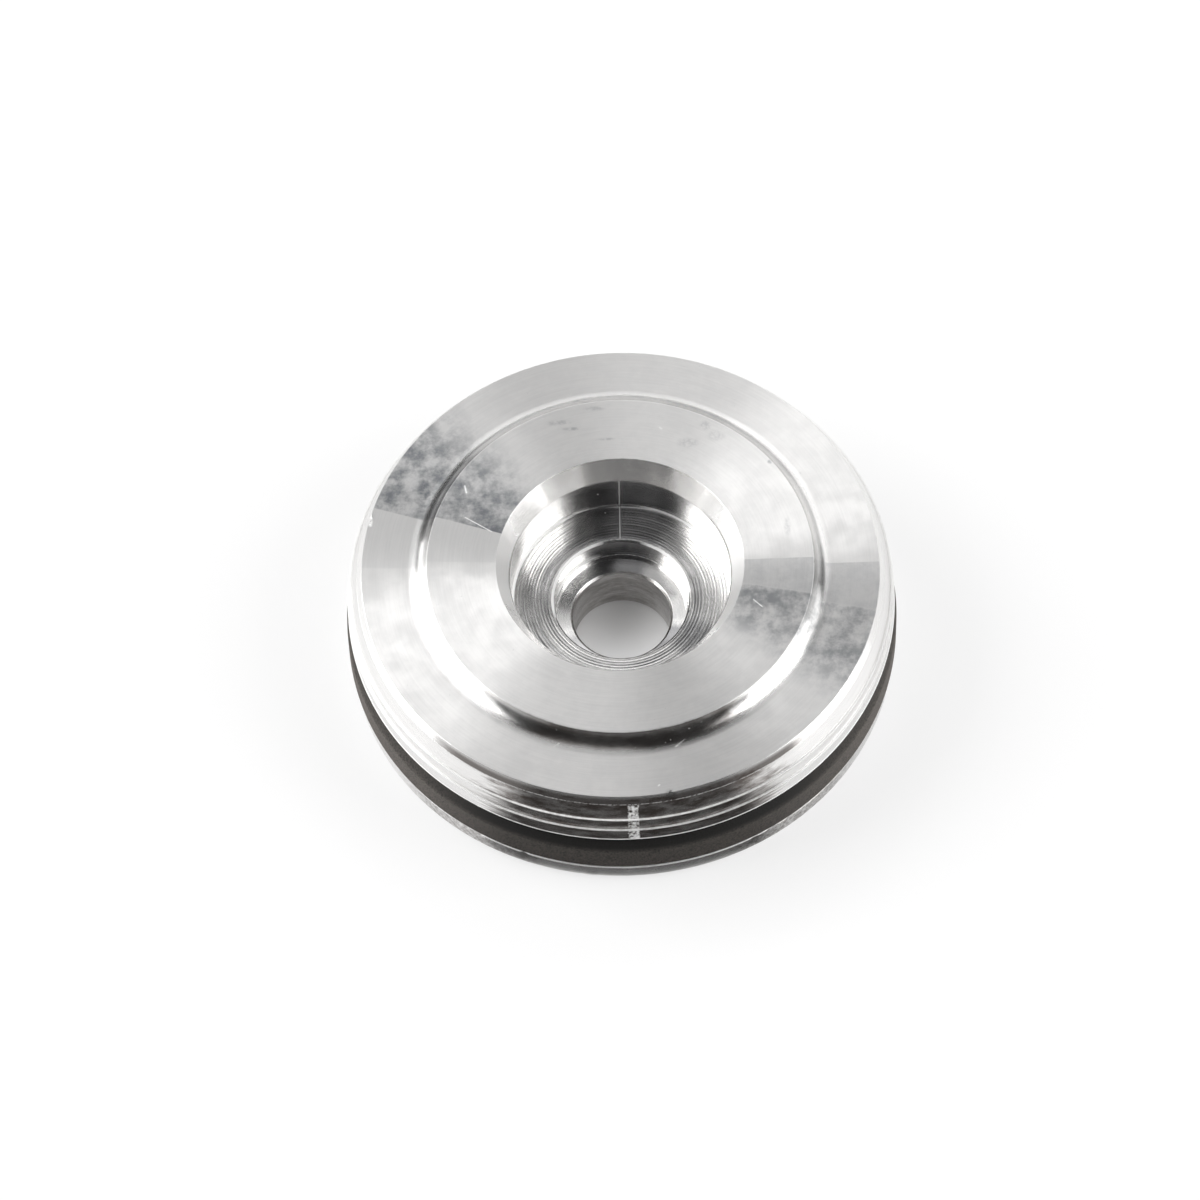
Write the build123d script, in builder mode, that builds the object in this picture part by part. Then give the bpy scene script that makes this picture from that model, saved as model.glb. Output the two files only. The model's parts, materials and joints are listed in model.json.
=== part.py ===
"""Turned metal disc with a stepped centre bore and a rubber ring in its outer groove.

Millimetres. +Z is the turning axis, and the origin is at the centre of the underside.
Both pieces are turned about the same axis, so each one is half a section, revolved.
"""

from build123d import *
import math
import os

# ---------------------------------------------------------------- rim, from the underside up
lip_diameter = 60.0            # widest metal edge, just above the groove
flange_setback = 0.1           # how far the flange under the groove stays inside the lip
flange_height = 3.0
flange_edge_break = 1.05       # 45 degree break round the underside
groove_height = 6.25
groove_depth = 3.4             # radial, from the lip
lip_edge_height = 0.18         # small bead that the groove tool left along the lip
lip_edge_width = 0.08
lower_land_height = 1.72
upper_land_height = 1.75
land_step = 0.24               # width of the ledge above each land
lead_cone_height = 1.81        # lead-in cone above the lands
lead_cone_width = 0.70
top_bevel_height = 0.84        # steeper bevel round the top face
top_bevel_width = 0.52

# ---------------------------------------------------------------- raised boss on the top face
boss_diameter = 42.2
boss_height = 1.45
boss_foot_radius = 2.3         # hollow sweep where the boss meets the top face

# ---------------------------------------------------------------- stepped bore, from the boss down
mouth_cone_width = 1.45        # radial, from the counterbore wall to the boss face
mouth_cone_depth = 2.45
counterbore_diameter = 24.1
counterbore_depth = 7.4        # boss face to counterbore floor
counterbore_corner_radius = 0.4
upper_step_depth = 2.35        # counterbore floor to the small ledge
upper_step_edge_break = 0.25
small_ledge_width = 0.3
lower_step_depth = 0.95
last_ledge_width = 1.7         # from the lower step's wall to the hole's wall
last_ledge_fall = 0.2          # the last ledge slopes slightly to the hole
hole_diameter = 10.8
hole_edge_break = 0.25
hole_exit_break = 0.2

# ---------------------------------------------------------------- rubber ring in the groove
ring_top_clearance = 0.15      # gap left under the lip
ring_bulge = 0.20              # how far the ring stands out past the lip
ring_foot_inset = 0.25         # how far the ring's foot stays inside the flange edge
ring_foot_height = 0.7         # rounded foot, below the upright outer face
ring_foot_bow = 0.15
ring_shoulder_height = 2.2     # sloping shoulder, above the upright outer face
ring_shoulder_inset = 1.2      # how far the shoulder draws in
ring_shoulder_bow = 0.24

# ---------------------------------------------------------------- worked out from the sizes above
lip_radius = lip_diameter / 2
flange_radius = lip_radius - flange_setback
groove_radius = lip_radius - groove_depth
lower_land_radius = lip_radius - lip_edge_width
upper_land_radius = lower_land_radius - land_step
lead_cone_foot_radius = upper_land_radius - land_step
top_bevel_foot_radius = lead_cone_foot_radius - lead_cone_width
top_face_radius = top_bevel_foot_radius - top_bevel_width

groove_top = flange_height + groove_height
lower_land_foot = groove_top + lip_edge_height
lower_land_top = lower_land_foot + lower_land_height
upper_land_top = lower_land_top + upper_land_height
lead_cone_top = upper_land_top + lead_cone_height
top_face = lead_cone_top + top_bevel_height
boss_face = top_face + boss_height

boss_radius = boss_diameter / 2
foot_rise = min(boss_height, boss_foot_radius)
foot_reach = math.sqrt(foot_rise * (2 * boss_foot_radius - foot_rise))
foot_radius = boss_radius + foot_reach

counterbore_radius = counterbore_diameter / 2
mouth_radius = counterbore_radius + mouth_cone_width
hole_radius = hole_diameter / 2
lower_step_radius = hole_radius + last_ledge_width
upper_step_radius = lower_step_radius + small_ledge_width

counterbore_floor = boss_face - counterbore_depth
small_ledge = counterbore_floor - upper_step_depth
last_ledge = small_ledge - lower_step_depth
hole_mouth = last_ledge - last_ledge_fall

ring_radius = lip_radius + ring_bulge
ring_foot_radius = flange_radius - ring_foot_inset
ring_shoulder_radius = ring_radius - ring_shoulder_inset
ring_top = groove_top - ring_top_clearance
ring_foot_top = flange_height + ring_foot_height
ring_face_top = ring_top - ring_shoulder_height

os.makedirs("parts", exist_ok=True)


# ---------------------------------------------------------------- turned body, one solid
with BuildPart() as turned_body:
    with BuildSketch(Plane.XZ):
        with BuildLine():
            # underside, flange, groove, lip, lands and lead-in, in to the boss foot
            Polyline(
                (hole_radius + hole_exit_break, 0),
                (flange_radius - flange_edge_break, 0),
                (flange_radius, flange_edge_break),
                (flange_radius, flange_height),
                (groove_radius, flange_height),
                (groove_radius, groove_top),
                (lip_radius, groove_top),
                (lower_land_radius, lower_land_foot),
                (lower_land_radius, lower_land_top),
                (upper_land_radius, lower_land_top),
                (upper_land_radius, upper_land_top),
                (lead_cone_foot_radius, upper_land_top),
                (top_bevel_foot_radius, lead_cone_top),
                (top_face_radius, top_face),
                (foot_radius, top_face),
            )
            # hollow foot of the boss: leaves the top face level and ends at the boss edge
            RadiusArc(
                (foot_radius, top_face),
                (boss_radius, top_face + foot_rise),
                boss_foot_radius,
            )
            if boss_height > foot_rise:
                Line((boss_radius, top_face + foot_rise), (boss_radius, boss_face))
            # boss face, mouth cone and counterbore wall, with a rounded corner at its floor
            Polyline(
                (boss_radius, boss_face),
                (mouth_radius, boss_face),
                (counterbore_radius, boss_face - mouth_cone_depth),
                (counterbore_radius, counterbore_floor + counterbore_corner_radius),
            )
            RadiusArc(
                (counterbore_radius, counterbore_floor + counterbore_corner_radius),
                (counterbore_radius - counterbore_corner_radius, counterbore_floor),
                counterbore_corner_radius,
            )
            # counterbore floor, two small steps and the through hole
            Polyline(
                (counterbore_radius - counterbore_corner_radius, counterbore_floor),
                (upper_step_radius + upper_step_edge_break, counterbore_floor),
                (upper_step_radius, counterbore_floor - upper_step_edge_break),
                (upper_step_radius, small_ledge),
                (lower_step_radius, small_ledge),
                (lower_step_radius, last_ledge),
                (hole_radius + hole_edge_break, hole_mouth),
                (hole_radius, hole_mouth - hole_edge_break),
                (hole_radius, hole_exit_break),
                (hole_radius + hole_exit_break, 0),
            )
        make_face()
    revolve(axis=Axis.Z)

turned_body.part.label = "turned_body"
export_step(turned_body.part, "parts/turned_body.step")


# ---------------------------------------------------------------- rubber ring, one solid
with BuildPart() as seal_ring:
    with BuildSketch(Plane.XZ):
        with BuildLine():
            # seated round the groove floor and on the flange
            Polyline(
                (ring_shoulder_radius, ring_top),
                (groove_radius, ring_top),
                (groove_radius, flange_height),
                (ring_foot_radius, flange_height),
            )
            # rounded foot, upright face, then a bowed shoulder under the lip
            SagittaArc(
                (ring_foot_radius, flange_height),
                (ring_radius, ring_foot_top),
                -ring_foot_bow,
            )
            Line((ring_radius, ring_foot_top), (ring_radius, ring_face_top))
            SagittaArc(
                (ring_radius, ring_face_top),
                (ring_shoulder_radius, ring_top),
                -ring_shoulder_bow,
            )
        make_face()
    revolve(axis=Axis.Z)

seal_ring.part.label = "seal_ring"
export_step(seal_ring.part, "parts/seal_ring.step")
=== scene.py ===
"""Turned metal disc with a stepped centre bore and a rubber ring in its outer groove."""
import bpy
import functools
import itertools
import json
import math
import numpy as np
from mathutils import Matrix, Vector
from types import SimpleNamespace


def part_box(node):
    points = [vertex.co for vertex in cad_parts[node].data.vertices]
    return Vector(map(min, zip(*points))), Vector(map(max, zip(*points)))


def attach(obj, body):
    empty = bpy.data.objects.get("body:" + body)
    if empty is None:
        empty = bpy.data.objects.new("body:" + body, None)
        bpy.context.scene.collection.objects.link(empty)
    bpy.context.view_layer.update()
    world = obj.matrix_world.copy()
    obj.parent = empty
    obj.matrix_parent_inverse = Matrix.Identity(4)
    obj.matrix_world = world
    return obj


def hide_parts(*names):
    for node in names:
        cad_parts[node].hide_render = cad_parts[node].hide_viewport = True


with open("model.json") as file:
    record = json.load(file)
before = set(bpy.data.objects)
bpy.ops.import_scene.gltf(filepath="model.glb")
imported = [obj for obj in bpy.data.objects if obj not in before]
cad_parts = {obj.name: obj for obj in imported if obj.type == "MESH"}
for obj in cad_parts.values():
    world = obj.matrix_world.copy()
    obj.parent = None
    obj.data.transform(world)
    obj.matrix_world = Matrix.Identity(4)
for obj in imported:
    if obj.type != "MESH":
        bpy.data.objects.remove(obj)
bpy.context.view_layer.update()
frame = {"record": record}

MM = 0.001
SEGMENTS = 480                          # steps round the turning

# ---------------------------------------------------------------- sizes, in millimetres
body_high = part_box("turned_body")[1]
ring_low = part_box("seal_ring")[0]
bore_radius = {m["name"]: m["dims"].get("r_mm") for m in frame["record"]["mounts"]}
face_height = {m["name"]: m["pos_m"][2] / MM for m in frame["record"]["mounts"]}

lip_radius = body_high.x / MM
boss_face = body_high.z / MM
top_face = face_height["top_face"]
hole_radius = bore_radius["through_bore"]
counterbore_radius = bore_radius["counterbore"]
upper_step_radius = bore_radius["upper_step"]
lower_step_radius = bore_radius["lower_step"]

flange_radius = lip_radius - 0.1
flange_height = ring_low.z / MM
flange_edge_break = 1.05
hole_edge_break = 0.2
groove_radius = lip_radius - 3.4
groove_top = 9.25
lower_land_radius = lip_radius - 0.08
lower_land_foot = groove_top + 0.18
lower_land_top = lower_land_foot + 1.72
upper_land_radius = lower_land_radius - 0.24
upper_land_top = lower_land_top + 1.75
lead_cone_foot_radius = upper_land_radius - 0.24
top_bevel_foot_radius = lead_cone_foot_radius - 0.70
lead_cone_top = upper_land_top + 1.81
top_face_radius = top_bevel_foot_radius - 0.52
boss_radius = 21.1
boss_foot_radius = 2.3
mouth_radius = counterbore_radius + 1.45
mouth_cone_depth = 2.45
counterbore_floor = boss_face - 7.4
small_ledge = counterbore_floor - 2.35
last_ledge = small_ledge - 0.95
hole_mouth = last_ledge - 0.2
hole_middle = 3.0                       # where the body's outline starts and ends
ring_middle = 6.0                       # where the ring's outline starts and ends
ring_gap = 0.02                         # between the ring and the floor of the groove

FEED_PITCH = 0.33                       # feed marks on the counterbore floor
FEED_DEPTH = 0.010


# ---------------------------------------------------------------- lathe helpers
curve_numbers = itertools.count(1)
FLAT = 0                                # the curve number of a straight step
SMOOTH_TURN = math.cos(math.radians(25))  # up to this turn a curve meets a straight step smoothly


def rounded(corners, steps=4):
    """Knots of a polyline whose corners are (radius, height, edge round)."""
    knots = []
    for i, (r, z, edge) in enumerate(corners):
        here = Vector((r, z))
        if edge <= 0:
            knots.append((here, FLAT))
            continue
        before = (Vector(corners[i - 1][:2]) - here).normalized()
        after = (Vector(corners[i + 1][:2]) - here).normalized()
        half = before.angle(after) / 2
        centre = here + (before + after).normalized() * (edge / math.sin(half))
        start = here + before * (edge / math.tan(half)) - centre
        finish = here + after * (edge / math.tan(half)) - centre
        sweep = start.angle_signed(finish)
        curve = next(curve_numbers)
        for k in range(steps + 1):
            turn = Matrix.Rotation(-sweep * k / steps, 2)
            knots.append((centre + turn @ start, curve if k < steps else FLAT))
    return knots


def arc(centre, radius, start_deg, finish_deg, steps):
    """Knots of an arc, its two ends included."""
    knots = []
    curve = next(curve_numbers)
    for k in range(steps + 1):
        a = math.radians(start_deg + (finish_deg - start_deg) * k / steps)
        point = Vector((centre[0] + radius * math.cos(a), centre[1] + radius * math.sin(a)))
        knots.append((point, curve if k < steps else FLAT))
    return knots


def cusps(start, finish, pitch, depth, steps=3):
    """Knots of a round-nosed tool's feed marks between two points, some deeper than others."""
    run = finish - start
    count = max(1, round(run.length / pitch))
    along = run / count
    into = Vector((-run.y, run.x)).normalized() * depth
    knots = []
    for k in range(count):
        curve = next(curve_numbers)
        swell = 0.65 + 0.35 * math.sin(k * 2.4)
        for s in range(steps):
            u = 2 * s / steps - 1
            knots.append((start + along * (k + s / steps) + into * (swell * (1 - u * u)), curve))
    knots.append((finish.copy(), FLAT))
    return knots


def step_normals(knots):
    """Outward normals at the two ends of each step of an anticlockwise outline."""
    points = np.array([tuple(point) for point, _ in knots])
    curves = [curve for _, curve in knots]
    run = np.roll(points, -1, axis=0) - points
    out = np.column_stack((run[:, 1], -run[:, 0]))
    out /= np.linalg.norm(out, axis=1, keepdims=True)
    count = len(knots)
    ends = np.stack((out, out), axis=1)
    for side, neighbour in ((0, -1), (1, 1)):
        for i in range(count):
            if curves[i] == FLAT:
                continue
            n = (i + neighbour) % count
            if curves[n] == curves[i]:
                ends[i, side] = out[i] + out[n]
            elif curves[n] == FLAT and out[i] @ out[n] > SMOOTH_TURN:
                ends[i, side] = out[n]
    # where a curve meets a crease or another curve, its own turn goes on to the end of its last step
    for i in range(count):
        for side, neighbour in ((0, -1), (1, 1)):
            n = (i + neighbour) % count
            if curves[i] != FLAT and curves[n] != curves[i] and not np.allclose(ends[i, side], out[n]):
                other = ends[i, 1 - side]
                ends[i, side] = 2 * out[i] - other / np.linalg.norm(other)
    return ends / np.linalg.norm(ends, axis=2, keepdims=True)


DENT_EDGE = 0.02                        # share of a dent's depth at which the smooth turning begins


def lathe(name, knots, dents=()):
    """Turned mesh of a closed outline, in metres.

    A dent is (radius, height, reach, azimuth in degrees, half width, radial move, upward move), in
    millimetres. Its faces get the mesh's own normals, which a normal of zero stands for.
    """
    rz = np.array([tuple(point) for point, _ in knots])
    angle = np.arange(SEGMENTS) * 2 * math.pi / SEGMENTS
    count = len(rz)
    radius = np.repeat(rz[:, 0, None], SEGMENTS, axis=1)
    height = np.repeat(rz[:, 1, None], SEGMENTS, axis=1)
    moved = np.zeros((count, SEGMENTS), bool)
    for r, z, reach, azimuth, half_width, out_move, up_move in dents:
        near = np.exp(-(((rz[:, 0] - r) ** 2 + (rz[:, 1] - z) ** 2) / reach ** 2))
        away = (angle - math.radians(azimuth) + math.pi) % (2 * math.pi) - math.pi
        share = near[:, None] * np.exp(-((away * r / half_width) ** 2))[None, :]
        radius += out_move * share
        height += up_move * share
        moved |= share > DENT_EDGE
    verts = np.stack((radius * np.cos(angle), radius * np.sin(angle), height), axis=-1) * MM
    i = np.arange(count)[:, None]
    j = np.arange(SEGMENTS)[None, :]
    i2 = (i + 1) % count
    j2 = (j + 1) % SEGMENTS
    corners = [np.broadcast_arrays(a, b) for a, b in ((i, j), (i, j2), (i2, j2), (i2, j))]
    faces = np.stack([a * SEGMENTS + b for a, b in corners], axis=-1)
    mesh = bpy.data.meshes.new(name)
    mesh.from_pydata(verts.reshape(-1, 3).tolist(), [], faces.reshape(-1, 4).tolist())
    mesh.shade_smooth()
    ends = step_normals(knots)
    sides = [np.broadcast_to(ends[:, side, None, :], (count, SEGMENTS, 2)) for side in (0, 0, 1, 1)]
    normals = np.empty((count, SEGMENTS, 4, 3))
    for c, ((a, b), side) in enumerate(zip(corners, sides)):
        turn = angle[b]
        normals[:, :, c, 0] = side[:, :, 0] * np.cos(turn)
        normals[:, :, c, 1] = side[:, :, 0] * np.sin(turn)
        normals[:, :, c, 2] = side[:, :, 1]
        normals[:, :, c][moved[a, b]] = 0
    mesh.normals_split_custom_set(normals.reshape(-1, 3).tolist())
    piece = bpy.data.objects.new(name, mesh)
    bpy.context.scene.collection.objects.link(piece)
    return piece


def body_outline():
    """Outline of the turned body, anticlockwise, from half way up the hole."""
    top_face_middle = 25.0
    boss_face_middle = 17.0
    dent_room = 0.35                    # plain knots beside the flange's edges, for its dents
    foot_rise = boss_face - top_face
    foot_reach = math.sqrt(foot_rise * (2 * boss_foot_radius - foot_rise))
    outer = rounded([                   # radius, height and edge round
        (hole_radius, hole_middle, 0),
        (hole_radius, hole_edge_break, 0.05),
        (hole_radius + hole_edge_break, 0, 0.05),
        (flange_radius - flange_edge_break, 0, 0.2),
        (flange_radius, flange_edge_break, 0.12),
        (flange_radius, flange_edge_break + dent_room, 0),
        (flange_radius, flange_height - dent_room, 0),
        (flange_radius, flange_height, 0.07),
        (flange_radius - 0.40, flange_height, 0),
        (groove_radius, flange_height, 0.05),
        (groove_radius, groove_top, 0.05),
        (lip_radius, groove_top, 0.05),
        (lower_land_radius, lower_land_foot, 0.03),
        (lower_land_radius, lower_land_top, 0.05),
        (upper_land_radius, lower_land_top, 0.03),
        (upper_land_radius, upper_land_top, 0.05),
        (lead_cone_foot_radius, upper_land_top, 0.03),
        (top_bevel_foot_radius, lead_cone_top, 0.05),
        (top_face_radius, top_face, 0.05),
        (top_face_radius - 0.45, top_face, 0),
        (top_face_middle, top_face, 0),
    ])
    centre = (boss_radius + foot_reach, top_face + boss_foot_radius)
    finish_deg = 270 - math.degrees(math.atan2(foot_reach, boss_foot_radius - foot_rise))
    edge_start_deg = finish_deg + 1.0   # the boss's edge break begins just short of its face
    foot = arc(centre, boss_foot_radius, 270, edge_start_deg, 14)
    boss = rounded([
        (boss_radius - 0.03, boss_face - 0.03, 0),
        (boss_radius - 0.07, boss_face, 0.03),
        (boss_face_middle, boss_face, 0),
        (mouth_radius, boss_face, 0.06),
        (counterbore_radius + 0.08, boss_face - mouth_cone_depth + 0.14, 0),
        (counterbore_radius, boss_face - mouth_cone_depth, 0.1),
        (counterbore_radius, counterbore_floor + 2.0, 0),
    ])
    nose = 0.4                          # the tool's nose, left in the corner of the counterbore
    corner = arc((counterbore_radius - nose, counterbore_floor + nose), nose, 0, -90, 6)
    marks_end = Vector((upper_step_radius + 0.30, counterbore_floor))
    marks = cusps(corner[-1][0], marks_end, FEED_PITCH, FEED_DEPTH)
    bore = rounded([
        (marks_end.x, marks_end.y, 0),
        (upper_step_radius + 0.25, counterbore_floor, 0.02),
        (upper_step_radius, counterbore_floor - 0.25, 0.05),
        (upper_step_radius, small_ledge, 0.04),
        (lower_step_radius, small_ledge, 0.04),
        (lower_step_radius, last_ledge, 0.05),
        (hole_radius + 0.25, hole_mouth, 0.06),
        (hole_radius, hole_mouth - 0.25, 0.06),
        (hole_radius, hole_middle + 0.2, 0),
    ])[1:]
    return outer + foot + boss + corner[:-1] + marks + bore


def ring_outline():
    """Outline of the rubber ring, from half way up its inner wall."""
    top = groove_top - 0.15
    inner = groove_radius + ring_gap
    out = lip_radius + 0.20
    return rounded([                    # radius, height and edge round
        (inner, ring_middle, 0),
        (inner, flange_height, 0.1),
        (flange_radius - 0.25, flange_height, 0.15),
        (out, flange_height + 0.7, 0.4),
        (out, top - 2.2, 0.6),
        (out - 1.2, top, 0.3),
        (inner, top, 0.1),
        (inner, ring_middle + 0.2, 0),
    ], steps=6)


# ---------------------------------------------------------------- shader helpers
class Net:
    """Short ways to add nodes to one shader tree."""

    def __init__(self, tree):
        self.tree = tree

    def node(self, kind, **settings):
        node = self.tree.nodes.new(kind)
        for name, value in settings.items():
            setattr(node, name, value)
        return node

    def feed(self, socket, value):
        if isinstance(value, bpy.types.NodeSocket):
            self.tree.links.new(value, socket)
        else:
            socket.default_value = value

    def math(self, operation, a, b=0.0):
        node = self.node("ShaderNodeMath", operation=operation)
        self.feed(node.inputs[0], a)
        self.feed(node.inputs[1], b)
        return node.outputs[0]

    def vector(self, operation, a, b=(0.0, 0.0, 0.0), scale=1.0):
        node = self.node("ShaderNodeVectorMath", operation=operation)
        self.feed(node.inputs[0], a)
        if len([socket for socket in node.inputs if socket.enabled]) > 1:
            self.feed(node.inputs[1], b)
        if operation == "SCALE":
            self.feed(node.inputs["Scale"], scale)
        return node.outputs["Value" if operation in ("LENGTH", "DOT_PRODUCT") else "Vector"]

    def parts(self, vector):
        node = self.node("ShaderNodeSeparateXYZ")
        self.feed(node.inputs[0], vector)
        return node.outputs

    def joined(self, x, y, z):
        node = self.node("ShaderNodeCombineXYZ")
        for socket, value in zip(node.inputs, (x, y, z)):
            self.feed(socket, value)
        return node.outputs[0]

    def greatest(self, shares):
        """The greatest of several masks, at each place."""
        return functools.reduce(lambda a, b: self.math("MAXIMUM", a, b), shares)

    def product(self, *shares):
        """Several masks laid over each other."""
        return functools.reduce(lambda a, b: self.math("MULTIPLY", a, b), shares)

    def spread(self, value, low, high, to_low=0.0, to_high=1.0):
        """Smooth step of a value from one limit to the other. The first limit may be the higher one."""
        node = self.node("ShaderNodeMapRange", interpolation_type="SMOOTHSTEP")
        for socket, setting in zip(node.inputs, (value, low, high, to_low, to_high)):
            self.feed(socket, setting)
        return node.outputs[0]

    def noise(self, vector, scale, detail, rough):
        node = self.node("ShaderNodeTexNoise", noise_dimensions="3D")
        settings = {"Vector": vector, "Scale": scale, "Detail": detail, "Roughness": rough}
        for label, setting in settings.items():
            self.feed(node.inputs[label], setting)
        return node.outputs[0]

    def mix(self, share, a, b):
        """Colour a, turned into colour b by a share from 0 to 1."""
        node = self.node("ShaderNodeMix", data_type="RGBA")
        for socket, value in ((node.inputs[0], share), (node.inputs[6], a), (node.inputs[7], b)):
            self.feed(socket, value)
        return node.outputs[2]

    def bump(self, height, depth_mm):
        node = self.node("ShaderNodeBump")
        self.feed(node.inputs["Height"], height)
        self.feed(node.inputs["Distance"], depth_mm * MM)
        return node.outputs[0]

    def place(self, group, **settings):
        """Outputs of a group placed with its own values."""
        node = self.node("ShaderNodeGroup", node_tree=group)
        for label, value in settings.items():
            self.feed(node.inputs[label.replace("_", " ")], value)
        return node.outputs

    def spot(self):
        """Place on the object, in millimetres."""
        return self.vector("SCALE", self.node("ShaderNodeTexCoord").outputs["Object"], scale=1 / MM)


def new_group(name, inputs, outputs):
    """Empty node group with named sockets: its net, its inputs and its outputs."""
    tree = bpy.data.node_groups.new(name, "ShaderNodeTree")
    for label, value in inputs.items():
        kind = "NodeSocketVector" if isinstance(value, tuple) else "NodeSocketFloat"
        tree.interface.new_socket(label, in_out="INPUT", socket_type=kind).default_value = value
    for label in outputs:
        tree.interface.new_socket(label, in_out="OUTPUT", socket_type="NodeSocketFloat")
    net = Net(tree)
    return net, net.node("NodeGroupInput").outputs, net.node("NodeGroupOutput").inputs


def polar(radius, azimuth, height):
    """Place on the disc, in millimetres, from its radius and its azimuth in degrees."""
    turn = math.radians(azimuth)
    return (radius * math.cos(turn), radius * math.sin(turn), height)


def disc_place_group():
    """Place on the disc: radius and height in millimetres, azimuth from 0 to 360 degrees."""
    net, _, result = new_group("disc_place", {}, ["Radius", "Azimuth", "Height"])
    x, y, z = net.parts(net.spot())
    net.feed(result["Radius"], net.vector("LENGTH", net.joined(x, y, 0.0)))
    turn = net.math("MULTIPLY", net.math("ARCTAN2", y, x), 180 / math.pi)
    net.feed(result["Azimuth"], net.math("FLOORED_MODULO", turn, 360.0))
    net.feed(result["Height"], z)
    return net.tree


def turning_marks_group():
    """Fine rings that follow the turning on faces and walls alike, broken a little as they go round."""
    net, given, result = new_group("turning_marks", {"Pitch": 0.3, "Waver": 2.0}, ["Height"])
    x, y, z = net.parts(net.spot())
    radius = net.vector("LENGTH", net.joined(x, y, 0.0))
    heading = net.parts(net.vector("NORMALIZE", net.joined(x, y, 0.0)))
    run = net.math("ADD", radius, net.math("MULTIPLY", z, 0.8))
    across = net.math("DIVIDE", run, given["Pitch"])
    rings = net.joined(
        across,
        net.math("MULTIPLY", heading[0], given["Waver"]),
        net.math("MULTIPLY", heading[1], given["Waver"]),
    )
    net.feed(result["Height"], net.noise(rings, 1.0, 3.0, 0.6))
    return net.tree


def sector_group():
    """Sector of the disc between two azimuths in degrees, with ends that fade."""
    given_values = {"Azimuth": 0.0, "From": 0.0, "Fade In": 1.0, "To": 90.0, "Fade Out": 1.0}
    net, given, result = new_group("sector", given_values, ["Mask"])
    full_from = net.math("ADD", given["From"], given["Fade In"])
    full_to = net.math("SUBTRACT", given["To"], given["Fade Out"])
    rise = net.spread(given["Azimuth"], given["From"], full_from)
    fall = net.spread(given["Azimuth"], given["To"], full_to)
    net.feed(result["Mask"], net.product(rise, fall))
    return net.tree


def smudge_group():
    """Soft smudge round a place, thinned by a cloud."""
    given_values = {"Middle": (0.0, 0.0, 0.0), "Reach": (1.0, 1.0, 1.0), "Cloud": 1.0}
    net, given, result = new_group("smudge", given_values, ["Mask"])
    off = net.vector("DIVIDE", net.vector("SUBTRACT", net.spot(), given["Middle"]), given["Reach"])
    soft = net.spread(net.vector("LENGTH", off), 1.1, 0.2)
    net.feed(result["Mask"], net.product(soft, net.spread(given["Cloud"], 0.3, 0.62)))
    return net.tree


def scratch_group():
    """Straight line from one place to another, used for scratches and painted highlight streaks."""
    given_values = {"Start": (0.0, 0.0, 0.0), "Finish": (1.0, 0.0, 0.0), "Width": 0.1}
    net, given, result = new_group("scratch", given_values, ["Mask"])
    run = net.vector("SUBTRACT", given["Finish"], given["Start"])
    here = net.vector("SUBTRACT", net.spot(), given["Start"])
    along = net.math("DIVIDE", net.vector("DOT_PRODUCT", here, run), net.vector("DOT_PRODUCT", run, run))
    along = net.math("MINIMUM", net.math("MAXIMUM", along, 0.0), 1.0)
    off = net.vector("SUBTRACT", here, net.vector("SCALE", run, scale=along))
    net.feed(result["Mask"], net.spread(net.vector("LENGTH", off), given["Width"], 0.0))
    return net.tree


def edge_band_group():
    """Band round an edge of the turning.

    Across and Up say how far the place is from the edge, in millimetres.
    """
    net, given, result = new_group("edge_band", {"Across": 0.0, "Up": 0.0, "Reach": 0.1}, ["Mask"])
    off = net.vector("LENGTH", net.joined(given["Across"], given["Up"], 0.0))
    net.feed(result["Mask"], net.spread(off, given["Reach"], net.math("MULTIPLY", given["Reach"], 0.4)))
    return net.tree


disc_place = disc_place_group()
turning_marks = turning_marks_group()
sector_mask = sector_group()
smudge = smudge_group()
scratch = scratch_group()
edge_band = edge_band_group()


def new_finish(name, kind=Net):
    """New material, its net and its Principled shader."""
    material = bpy.data.materials.new(name)
    material.use_nodes = True
    tree = material.node_tree
    return material, kind(tree), next(n for n in tree.nodes if n.type == "BSDF_PRINCIPLED")


# ---------------------------------------------------------------- turned metal
BRIGHT_METAL = (0.88, 0.872, 0.862, 1)
WORN_AND_HIGHLIGHT_METAL = (0.95, 0.948, 0.94, 1)
DARK_METAL = (0.16, 0.16, 0.17, 1)
# dull film, also the colour of the painted dark reflections
DULL_FILM_AND_REFLECTION = (0.21, 0.222, 0.24, 1)
# brown, for painted dark reflections on the near side and blotches in the hole
BROWN_DARKENING = (0.155, 0.132, 0.12, 1)

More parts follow.
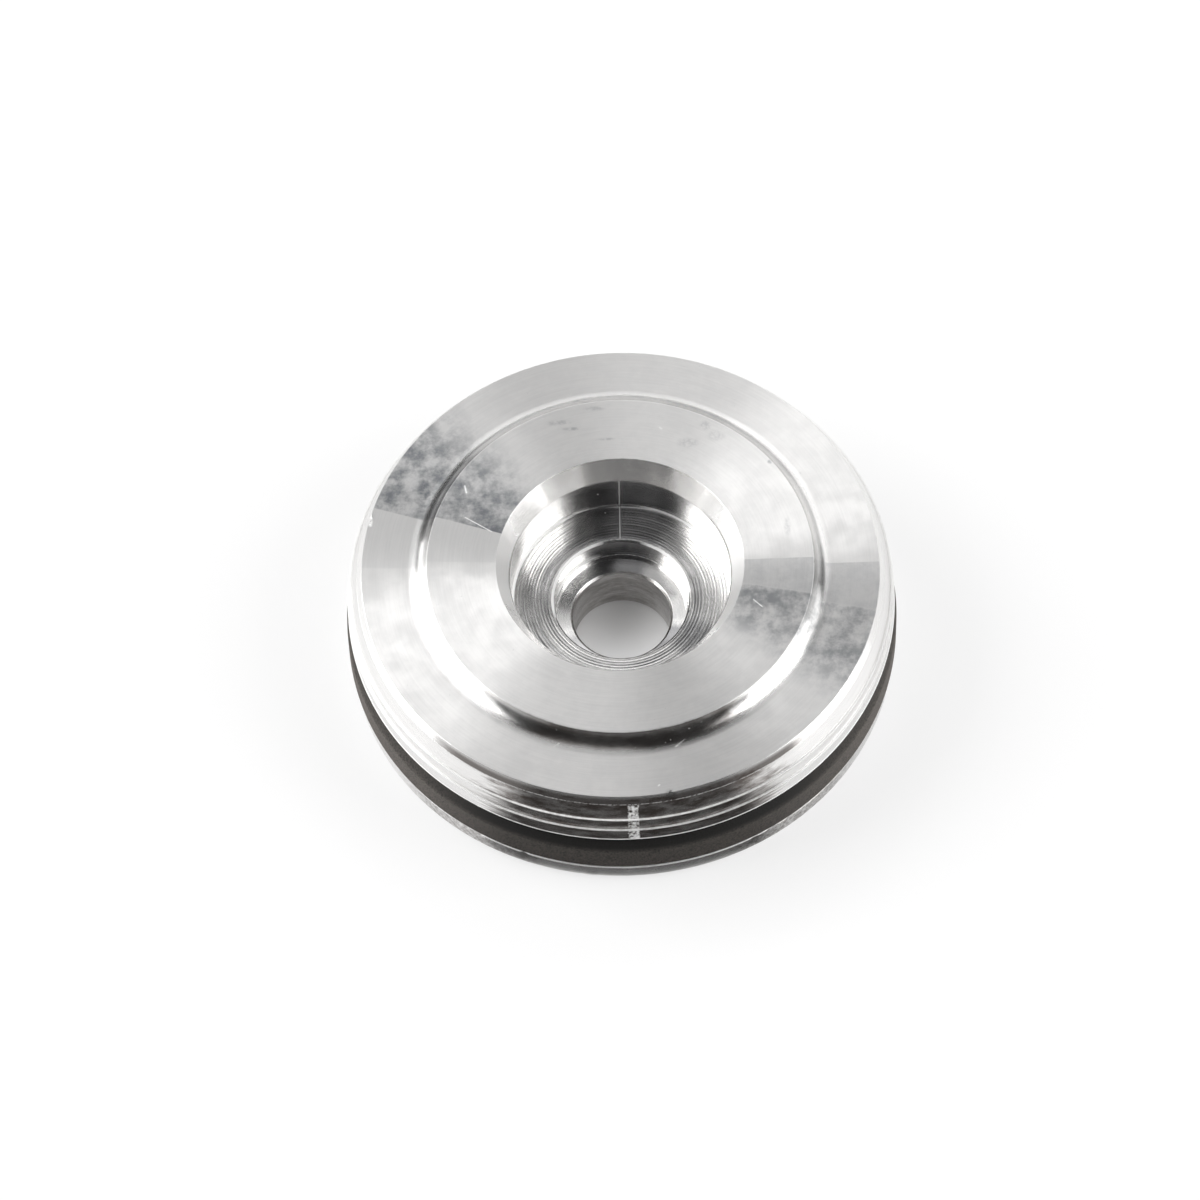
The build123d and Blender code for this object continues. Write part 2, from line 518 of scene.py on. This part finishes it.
# All sectors below are in degrees of azimuth: from, fade in, to, fade out.
DARK_REFLECTION_SECTORS = [                        # painted dark reflections, mottled like a film: sector, mottle and share
    (122, 22, 161, 0.5, 0.75, 0.94),
    (160.6, 0.4, 177, 0.8, 0.20, 0.12),
    (345, 3, 359.9, 0.4, 0.50, 0.40),
    (316, 18, 348, 1.5, 0.85, 0.80),
]
BROAD_SMUDGES = [                       # middle, reach and share
    (polar(23.9, 152, 15.7), (1.9, 4.4, 0.8), 1.00),
    (polar(24.6, 158, 15.7), (1.6, 1.6, 0.8), 0.90),
    (polar(25.4, 331, 15.6), (2.6, 2.6, 0.8), 0.45),
    (polar(17.6, 334, 17.0), (3.0, 2.4, 0.8), 0.45),
]
SMALL_SMUDGES = [                       # middle, reach and share
    (polar(9.0, 329, 9.6), (2.6, 2.0, 0.8), 0.35),
    (polar(20.9, 36, 17.0), (0.35, 0.35, 0.4), 0.90),
    (polar(17.2, 62, 17.0), (1.6, 0.8, 0.5), 0.30),
    (polar(19.5, 55, 17.0), (1.4, 1.0, 0.5), 0.22),
    (polar(18.8, 12, 17.0), (0.5, 1.6, 0.5), 0.28),
    (polar(19.4, 108, 17.0), (1.8, 0.5, 0.5), 0.35),
    (polar(18.2, 105, 17.0), (1.3, 0.35, 0.5), 0.45),
    (polar(16.1, 93, 17.0), (1.3, 0.25, 0.5), 0.35),
    (polar(20.0, 60, 17.0), (0.8, 0.8, 0.8), 0.30),
    (polar(20.2, 96, 17.0), (1.6, 0.4, 0.5), 0.35),
    (polar(7.5, 85, 8.2), (0.5, 0.6, 0.8), 0.90),
]
SCRATCHES_AND_GLINTS = [                     # scratches and painted highlights: start, finish and width
    # painted highlight streak down the counterbore's far wall and across its floor
    (polar(12.05, 88.6, 14.5), polar(12.05, 88.8, 9.7), 0.07),
    (polar(12.0, 88.8, 9.6), polar(7.7, 88.8, 9.6), 0.05),
    (polar(21.9, 120, 16.4), polar(20.6, 112, 17.0), 0.07),
    (polar(18.0, 158, 17.0), polar(14.6, 161, 17.0), 0.08),
    (polar(19.8, 147, 17.0), polar(19.2, 149, 17.0), 0.12),
    (polar(12.05, 100, 12.4), polar(11.2, 97, 9.6), 0.07),
    (polar(18.0, 74, 17.0), polar(17.9, 73, 17.0), 0.12),
    (polar(16.4, 338, 17.0), polar(15.2, 340, 17.0), 0.08),
    # painted glints on the boss foot
    (polar(23.1, 250, 15.6), polar(22.6, 251, 15.7), 0.12),
    (polar(22.9, 283, 15.6), polar(22.4, 286, 15.8), 0.12),
    (polar(27.2, 276.5, 15.55), polar(27.1, 276.9, 15.55), 0.12),
]
WORN_EDGE_HIGHLIGHTS = [                     # worn edges, painted light for their highlights: radius, height, reach, breaks and share
    (upper_land_radius - 0.10, upper_land_top, 0.17, 0.2, 1.0),
    (lower_land_radius - 0.10, lower_land_top, 0.17, 0.2, 1.0),
    (lip_radius - 0.02, groove_top + 0.08, 0.14, 0.15, 1.0),
    (top_bevel_foot_radius, lead_cone_top, 0.08, 0.7, 0.5),
    (flange_radius, flange_height - 0.05, 0.22, 0.2, 1.0),
    (boss_radius, boss_face, 0.08, 0.9, 0.5),
    (mouth_radius, boss_face, 0.06, 0.9, 0.4),
    (upper_step_radius + 0.22, counterbore_floor, 0.09, 0.6, 0.4),
    (lower_step_radius, small_ledge, 0.08, 0.6, 0.3),
    (hole_radius + 0.2, hole_mouth, 0.10, 0.8, 0.2),
]
PAINTED_BORE_GLINTS = [                         # painted glints on the bore's corner and steps: radius, height, reach, from, to and share
    (counterbore_radius - 0.12, counterbore_floor + 0.12, 0.26, 114, 196, 1.0),
    (counterbore_radius - 0.10, counterbore_floor + 0.10, 0.18, 14, 84, 0.7),
    (upper_step_radius + 0.12, counterbore_floor - 0.12, 0.24, 98, 200, 1.0),
    (upper_step_radius + 0.12, counterbore_floor - 0.12, 0.20, 0, 76, 0.9),
    (upper_step_radius - 0.1, small_ledge + 0.05, 0.14, 100, 170, 0.6),
]
GLINT_FADE = 14
PAINTED_SHADE_SECTORS = [                             # painted shade and dark reflection: surface, sector and share
    ("deep_bore", 52, 14, 113, 14, 0.62),
    ("deep_bore", 304, 14, 346, 14, 0.50),
    ("small_steps", 56, 16, 120, 16, 0.72),
    ("small_steps", 195, 14, 246, 14, 0.62),
    ("small_steps", 298, 10, 352, 12, 0.80),
    ("boss_foot", 20, 20, 84, 20, 0.20),
]
PAINTED_SHADE_STREAKS = 9.0
CONE_LIGHT_SECTORS = [                     # painted light on the sides of the mouth cone, whose metal is made paler and rougher there; the last two meet at azimuth 0
    (140, 26, 214, 26),
    (296, 40, 361, 0.5),
    (-1, 0.5, 44, 24),
]
CONE_LIGHT_SHARE = 0.42
RIM_STREAK_HIGHLIGHT = (269.3, 0.3, 271.9, 0.3)    # sector of a painted highlight streak on the rim
FLOOR_GROOVES = (8.1, 8.43, 8.76)       # radii of the deeper feed marks, painted with dark shade all the way round
SIDE_GROOVES = (9.6, 10.2, 10.75, 11.2)  # radii of the deeper feed marks, painted with dark shade at the two near sides


class MetalNet(Net):
    """Shader tree of the turned metal: the place on the disc, and the clouds that break up its marks."""

    def __init__(self, tree):
        super().__init__(tree)
        here = self.place(disc_place)
        self.radius = here["Radius"]
        self.azimuth = here["Azimuth"]
        self.height = here["Height"]
        spot = self.spot()
        self.broad_cloud = self.noise(spot, 0.385, 5.0, 0.66)
        self.small_cloud = self.noise(spot, 2.2, 4.0, 0.68)
        self.blotches = self.noise(self.vector("MULTIPLY", spot, (0.32, 0.32, 1.1)), 1.0, 6.0, 0.75)
        self.stray = self.round_streaks()

    def round_streaks(self):
        """Value from about -0.5 to 0.5 that runs in streaks round the turning."""
        layer = self.math("MULTIPLY", self.math("ADD", self.radius, self.height), 3.2)
        streaks = self.joined(self.math("MULTIPLY", self.azimuth, 0.12), layer, 0.0)
        return self.math("SUBTRACT", self.noise(streaks, 1.0, 4.0, 0.65), 0.5)

    def sector(self, start, fade_in, finish, fade_out, streaks=0.0):
        """Sector whose ends run out in streaks of so many degrees."""
        azimuth = self.azimuth
        if streaks:
            azimuth = self.math("ADD", azimuth, self.math("MULTIPLY", self.stray, streaks))
        ends = {"From": start, "Fade_In": fade_in, "To": finish, "Fade_Out": fade_out}
        return self.place(sector_mask, Azimuth=azimuth, **ends)["Mask"]

    def thinned(self, cloud, mottle):
        """Mask that a cloud thins by the given share."""
        return self.spread(cloud, 0.34, 0.68, 1.0 - mottle, 1.0)

    def edge_line(self, radius, height, reach):
        across = self.math("SUBTRACT", self.radius, radius)
        up = self.math("SUBTRACT", self.height, height)
        return self.place(edge_band, Across=across, Up=up, Reach=reach)["Mask"]

    def groove_lines(self, radii):
        """Fine lines round the disc."""
        return self.greatest(
            self.spread(self.math("ABSOLUTE", self.math("SUBTRACT", self.radius, groove)), 0.135, 0.04)
            for groove in radii
        )


def body_surfaces(net):
    """Masks of the body's surfaces, by radius and height."""
    radius, z = net.radius, net.height
    outside_bore = net.spread(radius, mouth_radius - 0.05, mouth_radius + 0.05)
    in_bore = net.spread(radius, counterbore_radius + 0.1, counterbore_radius)
    deep_bore = net.product(in_bore, net.spread(radius, upper_step_radius, upper_step_radius + 0.4))
    rim = net.product(
        net.spread(radius, top_face_radius - 0.02, top_face_radius + 0.28),
        net.spread(z, groove_top - 0.5, groove_top),
    )
    return SimpleNamespace(
        outside_bore=outside_bore,
        faces=net.product(outside_bore, net.spread(z, top_face - 0.12, top_face - 0.02)),
        boss_foot=net.product(
            net.spread(radius, boss_radius - 0.05, boss_radius + 0.05),
            net.spread(radius, boss_radius + 1.8, boss_radius + 1.1),
        ),
        rim=rim,
        bevel=net.product(net.spread(z, lead_cone_top - 0.1, lead_cone_top + 0.1), rim),
        flange=net.product(
            net.spread(radius, flange_radius - 0.5, flange_radius - 0.3),
            net.spread(z, flange_height + 0.3, flange_height + 0.1),
        ),
        mouth_cone=net.product(
            net.spread(radius, counterbore_radius + 0.05, counterbore_radius + 0.2),
            net.math("SUBTRACT", 1.0, outside_bore),
        ),
        deep_bore=deep_bore,
        bore_floor=net.product(
            net.spread(z, counterbore_floor + 0.2, counterbore_floor + 0.1), deep_bore,
        ),
        small_steps=net.product(
            net.spread(radius, upper_step_radius + 0.3, upper_step_radius + 0.1),
            net.spread(radius, hole_radius + 0.05, hole_radius + 0.2),
        ),
        hole=net.spread(radius, hole_radius + 0.3, hole_radius + 0.1),
    )


def film_and_dark_reflections(net, on):
    """Dark marks on the faces: painted dark reflections in sectors with straight borders, and smudges, a
    faint haze and pits of dull film.
    """
    reflection_faces = net.product(on.faces, net.spread(on.boss_foot, 0.0, 1.0, 1.0, 0.6))
    sectors = net.greatest(
        net.product(net.sector(*sector), net.thinned(net.broad_cloud, mottle), reflection_faces, share)
        for *sector, mottle, share in DARK_REFLECTION_SECTORS
    )
    smudges = net.greatest(
        net.product(net.place(smudge, Middle=middle, Reach=reach, Cloud=cloud)["Mask"], share)
        for rows, cloud in ((BROAD_SMUDGES, net.broad_cloud), (SMALL_SMUDGES, net.small_cloud))
        for middle, reach, share in rows
    )
    haze = net.product(net.spread(net.broad_cloud, 0.35, 0.65, 0.07, 0.0), on.faces)
    pits = net.product(net.spread(net.small_cloud, 0.695, 0.75), on.faces, 0.30)
    return net.greatest((sectors, smudges, haze, pits))


def brown_darkening(net, on):
    """Brown darkening: painted dark reflection on the near side of the rim, its bevel, the boss foot and
    the flange's near ends, and brown blotches in the hole.
    """
    blotches = net.blotches
    broken = net.thinned(net.small_cloud, 0.9)
    near_side = (236, 9, 306, 9)
    return net.greatest((
        net.product(on.rim, net.sector(*near_side, 26.0), net.spread(blotches, 0.36, 0.62, 0.5, 1.0)),
        net.product(
            on.boss_foot,
            net.sector(*near_side, 14.0),
            net.spread(blotches, 0.35, 0.65, 0.55, 0.85),
        ),
        net.product(on.bevel, net.sector(221, 10, 315, 8, 8.0), 0.8),
        net.product(on.flange, net.sector(212, 14, 252, 4, 24.0), broken, 0.7),
        net.product(on.flange, net.sector(290, 4, 330, 14, 24.0), broken, 0.7),
        net.product(on.hole, net.spread(blotches, 0.3, 0.7, 0.15, 0.65)),
    ))


def painted_shade(net, on):
    """Painted shade and dark reflection in sectors of the bore, its small steps and the boss foot."""
    return net.greatest(
        net.product(net.sector(*sector, PAINTED_SHADE_STREAKS), getattr(on, surface), share)
        for surface, *sector, share in PAINTED_SHADE_SECTORS
    )


def feed_mark_shade(net, on):
    """Painted shade: dark lines in the deeper feed marks of the counterbore floor."""
    near_sides = net.greatest((
        net.sector(194, 14, 238, 14),
        net.product(net.sector(312, 12, 346, 12), 0.7),
    ))
    ridges = net.greatest((
        net.product(net.groove_lines(FLOOR_GROOVES), 0.8),
        net.product(net.groove_lines(SIDE_GROOVES), near_sides),
    ))
    rings = net.place(turning_marks, Pitch=0.66, Waver=1.6)["Height"]
    uneven = net.spread(rings, 0.3, 0.7, 0.25, 1.0)
    return net.product(ridges, uneven, on.bore_floor, 0.9)


def wear_and_highlights(net, on):
    """Light metal: scratch lines, worn edges and painted highlights (glints, foot sparkle, rim streak,
    cone sides).
    """
    scratches_and_glints = net.greatest(
        net.place(scratch, Start=start, Finish=finish, Width=width)["Mask"]
        for start, finish, width in SCRATCHES_AND_GLINTS
    )
    # painted highlight streak on the rim's lead cone
    rim_streak = net.product(
        net.sector(*RIM_STREAK_HIGHLIGHT, 1.0),
        on.rim,
        net.spread(net.small_cloud, 0.35, 0.6),
        net.spread(net.height, lead_cone_top, lead_cone_top - 0.25),
    )
    edges = net.greatest(
        net.product(
            net.edge_line(radius, height, reach),
            net.spread(net.small_cloud, 0.45, 0.62, 1.0, 1.0 - breaks),
            share,
        )
        for radius, height, reach, breaks, share in WORN_EDGE_HIGHLIGHTS
    )
    glints = net.greatest(
        net.product(
            net.edge_line(radius, height, reach),
            net.sector(start, GLINT_FADE, finish, GLINT_FADE),
            share,
        )
        for radius, height, reach, start, finish, share in PAINTED_BORE_GLINTS
    )
    cone_light = net.greatest(net.sector(*sector) for sector in CONE_LIGHT_SECTORS)
    cone_light = net.product(cone_light, on.mouth_cone, CONE_LIGHT_SHARE)
    # painted glints on the near side of the boss foot
    foot_sparkle = net.product(
        net.spread(net.small_cloud, 0.66, 0.72), on.boss_foot, net.sector(238, 10, 304, 10), 0.8,
    )
    return net.greatest((scratches_and_glints, rim_streak, edges, glints, foot_sparkle, cone_light))


def turned_metal_finish():
    """Bright turned metal: fine rings, film, smudges and wear, with painted reflections, shade and
    highlights.
    """
    material, net, shader = new_finish("turned_metal", MetalNet)
    shader.inputs["Anisotropic"].default_value = 0.95
    shader.inputs["Anisotropic Rotation"].default_value = 0.25
    around = net.node("ShaderNodeTangent", direction_type="RADIAL", axis="Z")
    net.feed(shader.inputs["Tangent"], around.outputs[0])
    on = body_surfaces(net)
    fine = net.place(turning_marks, Pitch=0.20, Waver=4.0)["Height"]
    broad = net.place(turning_marks, Pitch=0.9, Waver=1.5)["Height"]
    # worn metal and painted highlights, made paler, less metallic and rougher
    light = wear_and_highlights(net, on)

    colour = net.mix(net.spread(fine, 0.25, 0.75, 0.07, 0.0), BRIGHT_METAL, DARK_METAL)
    colour = net.mix(film_and_dark_reflections(net, on), colour, DULL_FILM_AND_REFLECTION)
    colour = net.mix(painted_shade(net, on), colour, DARK_METAL)
    colour = net.mix(brown_darkening(net, on), colour, BROWN_DARKENING)
    colour = net.mix(feed_mark_shade(net, on), colour, DARK_METAL)
    colour = net.mix(light, colour, WORN_AND_HIGHLIGHT_METAL)
    net.feed(shader.inputs["Base Color"], colour)
    net.feed(shader.inputs["Metallic"], net.math("SUBTRACT", 1.0, net.math("MULTIPLY", light, 0.85)))

    flats = net.product(on.faces, net.math("SUBTRACT", 1.0, on.boss_foot))
    rough = net.spread(net.broad_cloud, 0.3, 0.7, 0.18, 0.22)
    rough = net.math("ADD", rough, net.math("MULTIPLY", flats, 0.10))
    net.feed(shader.inputs["Roughness"], net.math("ADD", rough, net.math("MULTIPLY", light, 0.3)))

    marks = net.math("ADD", fine, net.math("MULTIPLY", broad, 1.5))
    marks = net.product(marks, net.spread(on.outside_bore, 0.0, 1.0, 0.2, 1.0))
    net.feed(shader.inputs["Normal"], net.bump(marks, 0.0015))
    return material


# ---------------------------------------------------------------- rubber
BLACK_RUBBER = (0.010, 0.0095, 0.009, 1)
DUSTY_LIT_RUBBER = (0.125, 0.110, 0.098, 1)
SHOULDER_FADE = (7.4, 6.6)              # heights between which the dusty, lighter rubber below the shoulder sets in; partly painted light


def rubber_finish():
    """Matt black rubber, dusty and lighter below its shoulder and away from the near side: partly dusty
    rubber, partly painted shade under the lip and painted light on the sides.
    """
    material, net, shader = new_finish("rubber")
    shader.inputs["Specular IOR Level"].default_value = 0.35
    spot = net.spot()
    grain = net.noise(spot, 5.0, 4.0, 0.7)
    lower = net.spread(net.parts(spot)[2], *SHOULDER_FADE)
    azimuth = net.place(disc_place)["Azimuth"]
    front = net.place(sector_mask, Azimuth=azimuth, From=215, Fade_In=30, To=330, Fade_Out=30)["Mask"]
    reach = net.math("ADD", net.math("MULTIPLY", lower, 0.62), 0.02)
    reach = net.math("ADD", reach, net.math("MULTIPLY", net.math("SUBTRACT", 1.0, front), 0.5))
    dust_and_light = net.math("MINIMUM", net.product(net.spread(grain, 0.30, 0.62), reach), 1.0)
    net.feed(shader.inputs["Base Color"], net.mix(dust_and_light, BLACK_RUBBER, DUSTY_LIT_RUBBER))
    net.feed(shader.inputs["Roughness"], net.spread(grain, 0.3, 0.7, 0.62, 0.85))
    net.feed(shader.inputs["Normal"], net.bump(grain, 0.03))
    return material


# ---------------------------------------------------------------- pieces
RIM_DENTS = [                           # as the lathe takes them
    (flange_radius, flange_height, 0.35, 247.0, 0.35, -0.16, -0.16),
    (flange_radius, flange_height, 0.35, 269.3, 0.55, 0.05, 0.10),
    (flange_radius, flange_height, 0.30, 232.5, 1.3, -0.10, -0.12),
    (flange_radius, flange_height, 0.30, 236.5, 0.7, -0.14, -0.14),
    (flange_radius, flange_edge_break + 0.2, 0.30, 261.3, 0.6, 0.06, 0.0),
    (flange_radius, flange_height, 0.35, 301.0, 0.8, -0.14, -0.12),
    (flange_radius, flange_height, 0.30, 296.5, 0.4, -0.10, -0.10),
    (flange_radius, flange_height, 0.30, 305.5, 0.6, -0.14, -0.12),
    (top_face_radius, top_face, 0.16, 279.0, 0.22, -0.10, -0.10),
    (top_face_radius, top_face, 0.16, 163.9, 0.30, -0.14, -0.12),
]


def turned_body():
    body = lathe("turned_body_skin", body_outline(), RIM_DENTS)
    body.data.materials.append(turned_metal_finish())
    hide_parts("turned_body")
    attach(body, "root")


def seal_ring():
    ring = lathe("seal_ring_skin", ring_outline())
    ring.data.materials.append(rubber_finish())
    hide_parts("seal_ring")
    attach(ring, "root")


turned_body()
seal_ring()


# ---------------------------------------------------------------- floor
FLOOR_HALF = 12.0                       # metres
FLOOR_WHITE = 0.9
BACKDROP_SHARE = 0.7                    # how far the floor shows as plain white beyond the disc
WHITE_RING = (20.0, 29.0)               # radii in millimetres between which the plain white sets in
GLOSS_RING = (29.5, 37.0)               # the same for what gloss reflects
HOLE_VIEW = (11.0, 9.0)                 # the same for the patch seen through the hole, which glows with painted light
HOLE_FAR, HOLE_NEAR = 4.0, -9.0         # how that painted light grows, from the patch's far side to its near side
MAT_GREY = 0.12
MAT_SECTOR = (232, 307)                 # degrees
MAT_FADE = 10                           # degrees
MAT_INNER = 0.0305                      # metres
MAT_OUTER = 0.6
MAT_HEIGHT = 0.0002
MAT_STEPS = 24


def stage_plane(name, corners, material):
    """Flat piece of the stage."""
    mesh = bpy.data.meshes.new(name)
    mesh.from_pydata(corners, [], [list(range(len(corners)))])
    mesh.materials.append(material)
    piece = bpy.data.objects.new(name, mesh)
    bpy.context.scene.collection.objects.link(piece)
    return piece


def floor_finish():
    """White floor that shows as plain white beyond the disc, with a faint shadow.

    Through the hole it glows with painted light that grows towards the near side.
    """
    material, net, shader = new_finish("floor")
    shader.inputs["Base Color"].default_value = (FLOOR_WHITE, FLOOR_WHITE, FLOOR_WHITE, 1)
    shader.inputs["Roughness"].default_value = 0.9
    glow = net.node("ShaderNodeEmission")
    rays = net.node("ShaderNodeLightPath").outputs
    x, y, _ = net.parts(net.spot())
    radius = net.vector("LENGTH", net.joined(x, y, 0.0))
    reflected = net.product(rays["Is Glossy Ray"], net.spread(radius, *GLOSS_RING))
    seen = net.greatest((rays["Is Camera Ray"], reflected))
    beyond = net.spread(radius, *WHITE_RING, 0.0, BACKDROP_SHARE)
    # painted light on the floor seen through the hole
    through = net.product(net.spread(y, HOLE_FAR, HOLE_NEAR, 0.02, 0.85), net.spread(radius, *HOLE_VIEW))
    blend = net.node("ShaderNodeMixShader")
    net.feed(blend.inputs[0], net.product(seen, net.greatest((beyond, through))))
    net.feed(blend.inputs[1], shader.outputs[0])
    net.feed(blend.inputs[2], glow.outputs[0])
    sheet = next(n for n in material.node_tree.nodes if n.type == "OUTPUT_MATERIAL")
    net.feed(sheet.inputs["Surface"], blend.outputs[0])
    return material


def front_mat():
    """Dark mat on the near side of the disc that only the metal's reflections see. Its ends fade out."""
    start, finish = MAT_SECTOR
    turns = [math.radians(start + (finish - start) * k / MAT_STEPS) for k in range(MAT_STEPS + 1)]
    far_edge = [(MAT_OUTER * math.cos(a), MAT_OUTER * math.sin(a), MAT_HEIGHT) for a in turns]
    near_edge = [(MAT_INNER * math.cos(a), MAT_INNER * math.sin(a), MAT_HEIGHT) for a in reversed(turns)]
    material, net, shader = new_finish("front_mat")
    shader.inputs["Base Color"].default_value = (MAT_GREY, MAT_GREY, MAT_GREY, 1)
    shader.inputs["Roughness"].default_value = 0.9
    azimuth = net.place(disc_place)["Azimuth"]
    ends = {"From": start, "Fade_In": MAT_FADE, "To": finish, "Fade_Out": MAT_FADE}
    net.feed(shader.inputs["Alpha"], net.place(sector_mask, Azimuth=azimuth, **ends)["Mask"])
    mat = stage_plane("front_mat", far_edge + near_edge, material)
    mat.visible_camera = False
    mat.visible_diffuse = False
    mat.visible_shadow = False
    mat.visible_transmission = False


floor_corners = [(sx * FLOOR_HALF, sy * FLOOR_HALF, 0) for sx, sy in ((-1, -1), (1, -1), (1, 1), (-1, 1))]
stage_plane("floor", floor_corners, floor_finish())
front_mat()

# ---------------------------------------------------------------- light
LAMP_DISTANCE = 3.0
LAMPS = [                               # name, azimuth, elevation, width, height and radiance
    ("left_main", 170, 38, 46, 34, 5.38),
    ("left_skirt", 170, 10, 64, 20, 1.88),
    ("left_back", 138, 46, 16, 24, 1.24),
    ("left_high", 168, 62, 22, 12, 0.94),
    ("left_front", 202, 30, 14, 46, 0.95),
    ("back_left", 92, 42, 30, 26, 1.66),
    ("back_right", 56, 38, 32, 34, 1.26),
    ("back_low", 70, 9, 90, 18, 0.56),
    ("back_gap", 116, 50, 14, 12, 1.32),
    ("right_gap", 16, 28, 14, 44, 1.28),
    ("right_main", 348, 38, 32, 34, 4.45),
    ("right_skirt", 348, 9, 40, 18, 3.07),
    ("right_front", 324, 38, 12, 40, 1.07),
    ("front_low", 270, 6, 70, 10, 0.08),
    ("top", 180, 82, 40, 20, 0.60),
]
WORLD_LEVEL = 0.06


def panel(name, azimuth, elevation, width, height, radiance):
    """Soft panel that faces the disc. Angles in degrees, as seen from the disc."""
    lamp = bpy.data.lights.new(name, "AREA")
    lamp.shape = "RECTANGLE"
    lamp.size = 2 * LAMP_DISTANCE * math.tan(math.radians(width / 2))
    lamp.size_y = 2 * LAMP_DISTANCE * math.tan(math.radians(height / 2))
    lamp.energy = radiance * math.pi * lamp.size * lamp.size_y
    holder = bpy.data.objects.new(name, lamp)
    turn = math.radians(azimuth)
    rise = math.radians(elevation)
    place = Vector((math.cos(rise) * math.cos(turn), math.cos(rise) * math.sin(turn), math.sin(rise)))
    holder.location = place * LAMP_DISTANCE
    holder.rotation_euler = place.to_track_quat("Z", "Y").to_euler()
    holder.visible_camera = False
    bpy.context.scene.collection.objects.link(holder)


for lamp_row in LAMPS:
    panel(*lamp_row)

world = bpy.data.worlds.new("studio")
bpy.context.scene.world = world
world.use_nodes = True
sky = world.node_tree.nodes["Background"].inputs
sky["Color"].default_value = (1, 1, 1, 1)
sky["Strength"].default_value = WORLD_LEVEL

# ---------------------------------------------------------------- camera
CAMERA_PLACE = Vector((-2.324, -393.75, 668.05)) * MM
CAMERA_FALL = math.radians(59.124)      # below the horizontal
CAMERA_ROLL = math.radians(-2.345)
CAMERA_LENS = 210                       # millimetres, as the sensor width
SENSOR_WIDTH = 36

camera_data = bpy.data.cameras.new("camera")
camera_data.lens = CAMERA_LENS
camera_data.sensor_width = SENSOR_WIDTH
camera = bpy.data.objects.new("camera", camera_data)
camera.matrix_world = (
    Matrix.Translation(CAMERA_PLACE)
    @ Matrix.Rotation(math.pi / 2 - CAMERA_FALL, 4, "X")
    @ Matrix.Rotation(CAMERA_ROLL, 4, "Z")
)
bpy.context.scene.collection.objects.link(camera)
bpy.context.scene.camera = camera
bpy.context.scene.view_settings.view_transform = "Standard"
